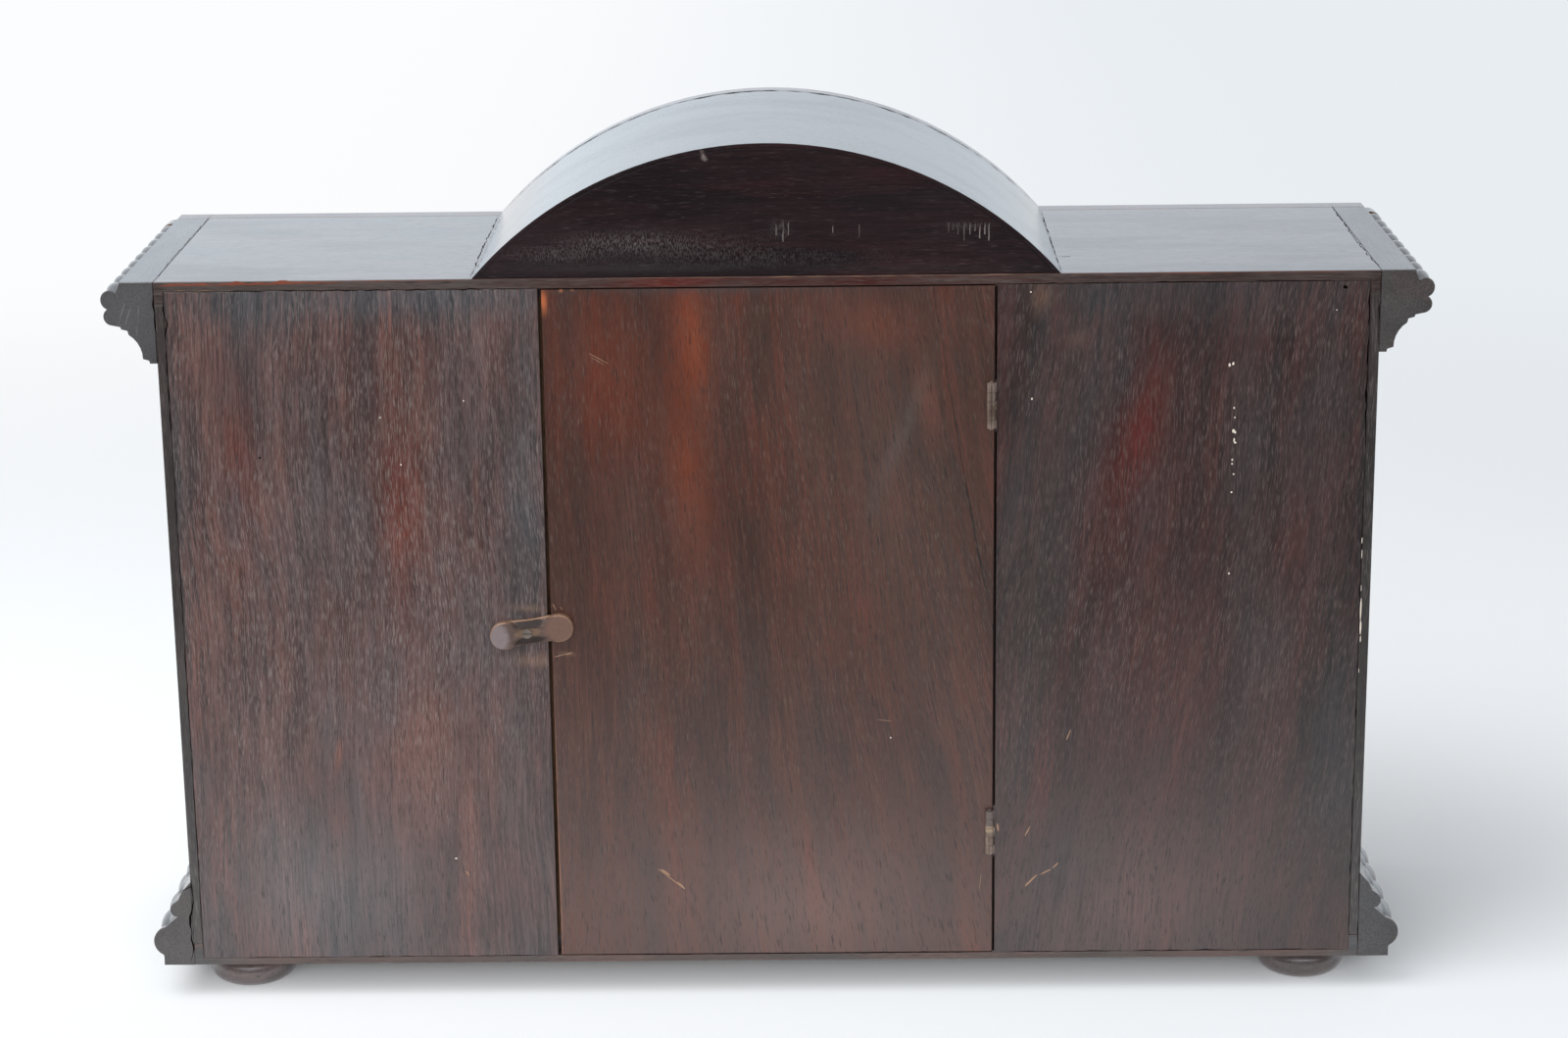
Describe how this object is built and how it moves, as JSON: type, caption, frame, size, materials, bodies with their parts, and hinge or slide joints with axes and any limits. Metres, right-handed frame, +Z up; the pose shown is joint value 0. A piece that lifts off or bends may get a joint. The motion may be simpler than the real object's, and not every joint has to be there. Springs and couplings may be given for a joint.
{
  "type": "table clock",
  "caption": "Wide wooden table clock with a bowed crest, carved side mouldings, bun feet, a hinged back door and a key-wound pendulum movement.",
  "frame": {"origin": "on the ground, under the middle of the whole clock", "axes": "+Z up, -Y towards the dial side (front), +Y towards the back door, +X to the right as seen from the front"},
  "size_m": [0.5654, 0.1694, 0.3847],
  "materials": {
    "polished_wood": "dark French-polished hardwood veneer, glossy, worn",
    "back_panel_wood": "dark stained open-grained hardwood, satin, dry",
    "door_wood": "red-brown stained open-grained hardwood, satin",
    "crest_wood": "very dark stained hardwood, satin, scuffed",
    "carved_wood": "dark end-grained hardwood mouldings, waxed",
    "foot_wood": "turned dark hardwood, satin",
    "inner_wood": "plain sawn softwood, unfinished",
    "aged_iron": "old iron, browned and dull",
    "brass": "satin grained clock brass",
    "gilt_brass": "polished and lacquered brass",
    "steel": "ground steel",
    "blued_steel": "heat-blued steel",
    "dial_paint": "cream painted metal",
    "clear_glass": "clear flat glass"
  },
  "bodies": {
    "case": {"top_board": "polished_wood", "bottom_board": "polished_wood", "left_side_board": "polished_wood", "right_side_board": "polished_wood", "front_panel": "polished_wood", "arch_skin": "polished_wood", "arch_back": "crest_wood", "left_back_panel": "back_panel_wood", "right_back_panel": "back_panel_wood", "left_door_post": "inner_wood", "right_door_post": "inner_wood", "left_cornice": "carved_wood", "right_cornice": "carved_wood", "left_base_moulding": "carved_wood", "right_base_moulding": "carved_wood", "bun_feet": "foot_wood", "hinge_frame_leaves": "aged_iron", "hinge_pins": "aged_iron", "hinge_frame_screws": "aged_iron", "turn_button_screw": "aged_iron", "dial_plate": "dial_paint", "dial_screws": "gilt_brass", "bezel_seat": "gilt_brass", "bezel_hinge_pin": "gilt_brass", "front_plate": "brass", "back_plate": "brass", "plate_pillars": "brass", "plate_screws": "blued_steel", "movement_posts": "brass", "movement_screws": "blued_steel", "click_spring": "steel", "back_cock": "brass", "winding_key": "brass"},
    "back_door": {"back_door": "door_wood", "hinge_door_leaves": "aged_iron", "hinge_door_screws": "aged_iron"},
    "turn_button": {"turn_button": "aged_iron"},
    "bezel": {"bezel_ring": "gilt_brass", "bezel_glass": "clear_glass"},
    "minute_hand": {"minute_hand": "blued_steel", "hand_nut": "gilt_brass", "cannon_pinion": "steel"},
    "minute_wheel": {"minute_wheel": "brass"},
    "hour_hand": {"hour_hand": "blued_steel", "hour_wheel": "brass"},
    "winding_arbor": {"barrel_arbor": "steel", "ratchet_wheel": "steel"},
    "click": {"click": "steel"},
    "barrel": {"going_barrel": "brass", "barrel_cap": "brass", "mainspring": "steel"},
    "second_wheel": {"second_wheel": "brass"},
    "centre_wheel": {"centre_wheel": "brass"},
    "third_wheel": {"third_wheel": "brass"},
    "escape_wheel": {"escape_wheel": "brass"},
    "anchor": {"anchor": "steel"},
    "pendulum": {"suspension_spring": "steel", "pendulum_rod": "brass", "pendulum_bob": "gilt_brass"},
    "rating_nut": {"rating_nut": "brass"}
  },
  "joints": [
    {"name": "back_door_swing", "type": "hinge", "parent": "case", "child": "back_door", "pos_m": [-0.0954, 0.0815, 0.174], "axis": [0, 0, 1], "range_deg": [0, 105]},
    {"name": "turn_button_turn", "type": "hinge", "parent": "case", "child": "turn_button", "pos_m": [0.1058, 0.0823, 0.1716], "axis": [0, 1, 0], "continuous": true},
    {"name": "bezel_swing", "type": "hinge", "parent": "case", "child": "bezel", "pos_m": [0.1005, -0.0717, 0.215], "axis": [0, 0, 1], "range_deg": [0, 110]},
    {"name": "minute_hand_turn", "type": "hinge", "parent": "case", "child": "minute_hand", "pos_m": [0, -0.0737, 0.215], "axis": [0, 1, 0], "continuous": true},
    {"name": "minute_wheel_turn", "type": "hinge", "parent": "case", "child": "minute_wheel", "pos_m": [0.018, -0.0597, 0.215], "axis": [0, 1, 0], "continuous": true},
    {"name": "hour_hand_turn", "type": "hinge", "parent": "case", "child": "hour_hand", "pos_m": [0, -0.0717, 0.215], "axis": [0, 1, 0], "continuous": true},
    {"name": "winding_turn", "type": "hinge", "parent": "case", "child": "winding_arbor", "pos_m": [0, -0.0567, 0.162], "axis": [0, 1, 0], "continuous": true},
    {"name": "click_lift", "type": "hinge", "parent": "case", "child": "click", "pos_m": [0.021, -0.0567, 0.171], "axis": [0, 1, 0], "range_deg": [0, 8], "stiffness_Nm_per_rad": 0.002, "springref_deg": -11.46, "deforming": ["click_spring"]},
    {"name": "escape_wheel_turn", "type": "hinge", "parent": "case", "child": "escape_wheel", "pos_m": [0, -0.0387, 0.24612], "axis": [0, 1, 0], "continuous": true},
    {"name": "third_wheel_turn", "type": "hinge", "parent": "case", "child": "third_wheel", "pos_m": [0.01073, -0.0387, 0.23358], "axis": [0, 1, 0], "continuous": true},
    {"name": "centre_wheel_turn", "type": "hinge", "parent": "case", "child": "centre_wheel", "pos_m": [0, -0.0427, 0.215], "axis": [0, 1, 0], "continuous": true},
    {"name": "second_wheel_turn", "type": "hinge", "parent": "case", "child": "second_wheel", "pos_m": [-0.00937, -0.0427, 0.19427], "axis": [0, 1, 0], "continuous": true},
    {"name": "barrel_turn", "type": "hinge", "parent": "case", "child": "barrel", "pos_m": [0, -0.0377, 0.162], "axis": [0, 1, 0], "continuous": true},
    {"name": "pendulum_swing", "type": "hinge", "parent": "case", "child": "pendulum", "pos_m": [0, 0.0023, 0.2661], "axis": [0, 1, 0], "range_deg": [-2.5, 2.5]},
    {"name": "anchor_rock", "type": "hinge", "parent": "case", "child": "anchor", "pos_m": [0, -0.0387, 0.2661], "axis": [0, 1, 0], "range_deg": [-2.5, 2.5]},
    {"name": "rating_nut_turn", "type": "hinge", "parent": "pendulum", "child": "rating_nut", "pos_m": [0, 0.0023, 0.0666], "axis": [0, 0, 1], "continuous": true}
  ],
  "couplings": [
    {"joint": "minute_wheel_turn", "follows": "minute_hand_turn", "ratio": -0.33333},
    {"joint": "hour_hand_turn", "follows": "minute_hand_turn", "ratio": 0.083333},
    {"joint": "third_wheel_turn", "follows": "escape_wheel_turn", "ratio": -0.1},
    {"joint": "centre_wheel_turn", "follows": "escape_wheel_turn", "ratio": 0.0083333},
    {"joint": "second_wheel_turn", "follows": "escape_wheel_turn", "ratio": -0.0013889},
    {"joint": "barrel_turn", "follows": "escape_wheel_turn", "ratio": 0.00023148},
    {"joint": "anchor_rock", "follows": "pendulum_swing", "ratio": 1}
  ]
}
